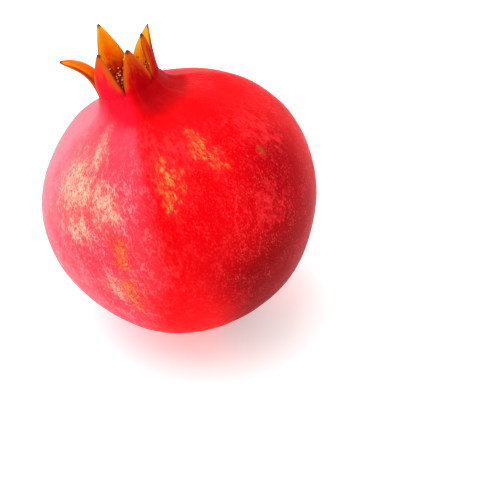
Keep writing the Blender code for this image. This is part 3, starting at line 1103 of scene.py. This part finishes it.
crown = bench.paint(inside, outer, inner)
dry = bench.times(bench.fade(across, *MARGIN_DRIES), bench.fade(along, 0.1, 0.4))
dry = bench.times(dry, bench.fade(veins, 0.30, 0.5, 0.3, 0.8))
dry = bench.larger(dry, bench.fade(along, *TIP_DRIES))
crown = bench.paint(bench.times(dry, DRY_STRENGTH), crown, DRY_BROWN)
in_crown = bench.larger(bench.fade(along, 0.0, 0.08), inside)
whole = bench.paint(in_crown, skin, crown)
bench.tree.links.new(whole, rind_shader.inputs["Base Color"])
count_nodes("whole colour")

# %% Its gloss and its relief
LEAST_ROUGH = 0.36
RELIEF_HEIGHT = 0.7 * MM
RELIEF_STRENGTH = 0.45

gloss = bench.plus(LEAST_ROUGH, bench.times(relief["Unevenness"], 0.14))
gloss = bench.plus(gloss, bench.times(in_crown, 0.15))
bench.tree.links.new(gloss, rind_shader.inputs["Roughness"])
height = bench.plus(relief["Height"], bench.times(flutes, on_neck))
bump = bench.add("ShaderNodeBump", {
    "Strength": RELIEF_STRENGTH, "Distance": RELIEF_HEIGHT, "Height": height,
})
bench.tree.links.new(bump.outputs[0], rind_shader.inputs["Normal"])
rind.data.materials.append(rind_finish)
count_nodes("gloss and relief")

# %% [markdown]
# ## Dry wood and dry threads
# The stump, the threads and the anthers are dry and matt. One recipe serves all three: two colours mixed
# by a noise, with a fine grained relief.


# %% The dry finishes
def dry_finish(name, dark, light, size, relief_depth):
    """A matt finish, mottled from a dark colour to a light one."""
    made, bench, shader = new_material(name, 0.75, Specular_IOR_Level=0.25)
    where = use_group(bench, "fruit_places")
    relief = use_group(bench, "skin_relief", {"Place": where["Place"], "Grain": 6.0, "Dimples": 1.0})
    mottle = bench.fade(bench.noise(where["Place"], size, 4.0, 0.65), 0.35, 0.65)
    bench.tree.links.new(bench.paint(mottle, dark, light), shader.inputs["Base Color"])
    rough = bench.fade(relief["Unevenness"], 0.2, 0.8, 0.65, 0.85)
    bench.tree.links.new(rough, shader.inputs["Roughness"])
    bump = bench.add("ShaderNodeBump", {
        "Strength": 0.5, "Distance": relief_depth, "Height": relief["Height"],
    })
    bench.tree.links.new(bump.outputs[0], shader.inputs["Normal"])
    return made


for piece, name, dark, light, size, relief_depth in (
    (stump, "stump_finish", colour(92, 66, 42), colour(168, 132, 92), 1.4, 0.5 * MM),
    (filaments, "thread_finish", colour(84, 14, 8), colour(170, 44, 14), 0.5, 0.1 * MM),
    (anther_tuft, "anther_finish", colour(196, 92, 30), colour(250, 196, 120), 0.7, 0.1 * MM),
):
    piece.data.materials.clear()
    piece.data.materials.append(dry_finish(name, dark, light, size, relief_depth))
    print(name, "on", piece.name)

# %% [markdown]
# ## Joining the pieces to the solids
# Every piece rides on the one body and hides the solid it stands for; the finish of the record it takes is
# only printed.

# %% Ride and replace
for piece, node, slot in (
    (rind, "fruit", "rind"),
    (stump, "fruit", "dried_stamen"),
    (filaments, "stamens", "dried_stamen"),
    (anther_tuft, "stamens", "dried_stamen"),
):
    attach(piece, "root")
    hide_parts(node)
    print(piece.name, "stands for", node, "in the finish", slot)

# %% [markdown]
# ## Floor and light
# The fruit lies on a plain white table in a bright room. The white world gives the even light, and one
# large soft lamp from the upper left gives the shape of the body.

# %% The floor
FLOOR_SIZE = 16.0  # metres, so that its far end stays out of the view
FLOOR_WHITE = (0.93, 0.93, 0.93, 1.0)
FLOOR_GLOW = 0.3  # its own light, which keeps the white even

bpy.ops.mesh.primitive_plane_add(size=FLOOR_SIZE, location=(0, 0, 0))
floor = bpy.context.object
floor.name = "floor"
floor_paint, bench, floor_shader = new_material("floor_paint", 0.6, Specular_IOR_Level=0.2)
floor_shader.inputs["Base Color"].default_value = FLOOR_WHITE
floor_shader.inputs["Emission Color"].default_value = (1, 1, 1, 1)
floor_shader.inputs["Emission Strength"].default_value = FLOOR_GLOW
floor.data.materials.append(floor_paint)
print("floor:", round(floor.dimensions.x, 1), "m wide")

# %% The light
WORLD_STRENGTH = 0.8
KEY_POWER = 10.0  # watts
KEY_SIZE = 1.2  # metres; a large lamp gives a soft shadow
KEY_PLACE = Vector((-0.35, 0.1, 0.95))  # metres from the fruit's middle

world = bpy.data.worlds.new("white_room")
bpy.context.scene.world = world
world.use_nodes = True
background = world.node_tree.nodes["Background"]
background.inputs["Color"].default_value = (1, 1, 1, 1)
background.inputs["Strength"].default_value = WORLD_STRENGTH
lamp = bpy.data.objects.new("key_lamp", bpy.data.lights.new("key_lamp", "AREA"))
bpy.context.scene.collection.objects.link(lamp)
lamp.data.energy = KEY_POWER
lamp.data.size = KEY_SIZE
lamp.location = MIDDLE + KEY_PLACE
lamp.rotation_euler = (-KEY_PLACE).to_track_quat("-Z", "Y").to_euler()
bpy.context.scene.view_settings.view_transform = "Standard"
print("lamp at", [round(c, 2) for c in lamp.location])
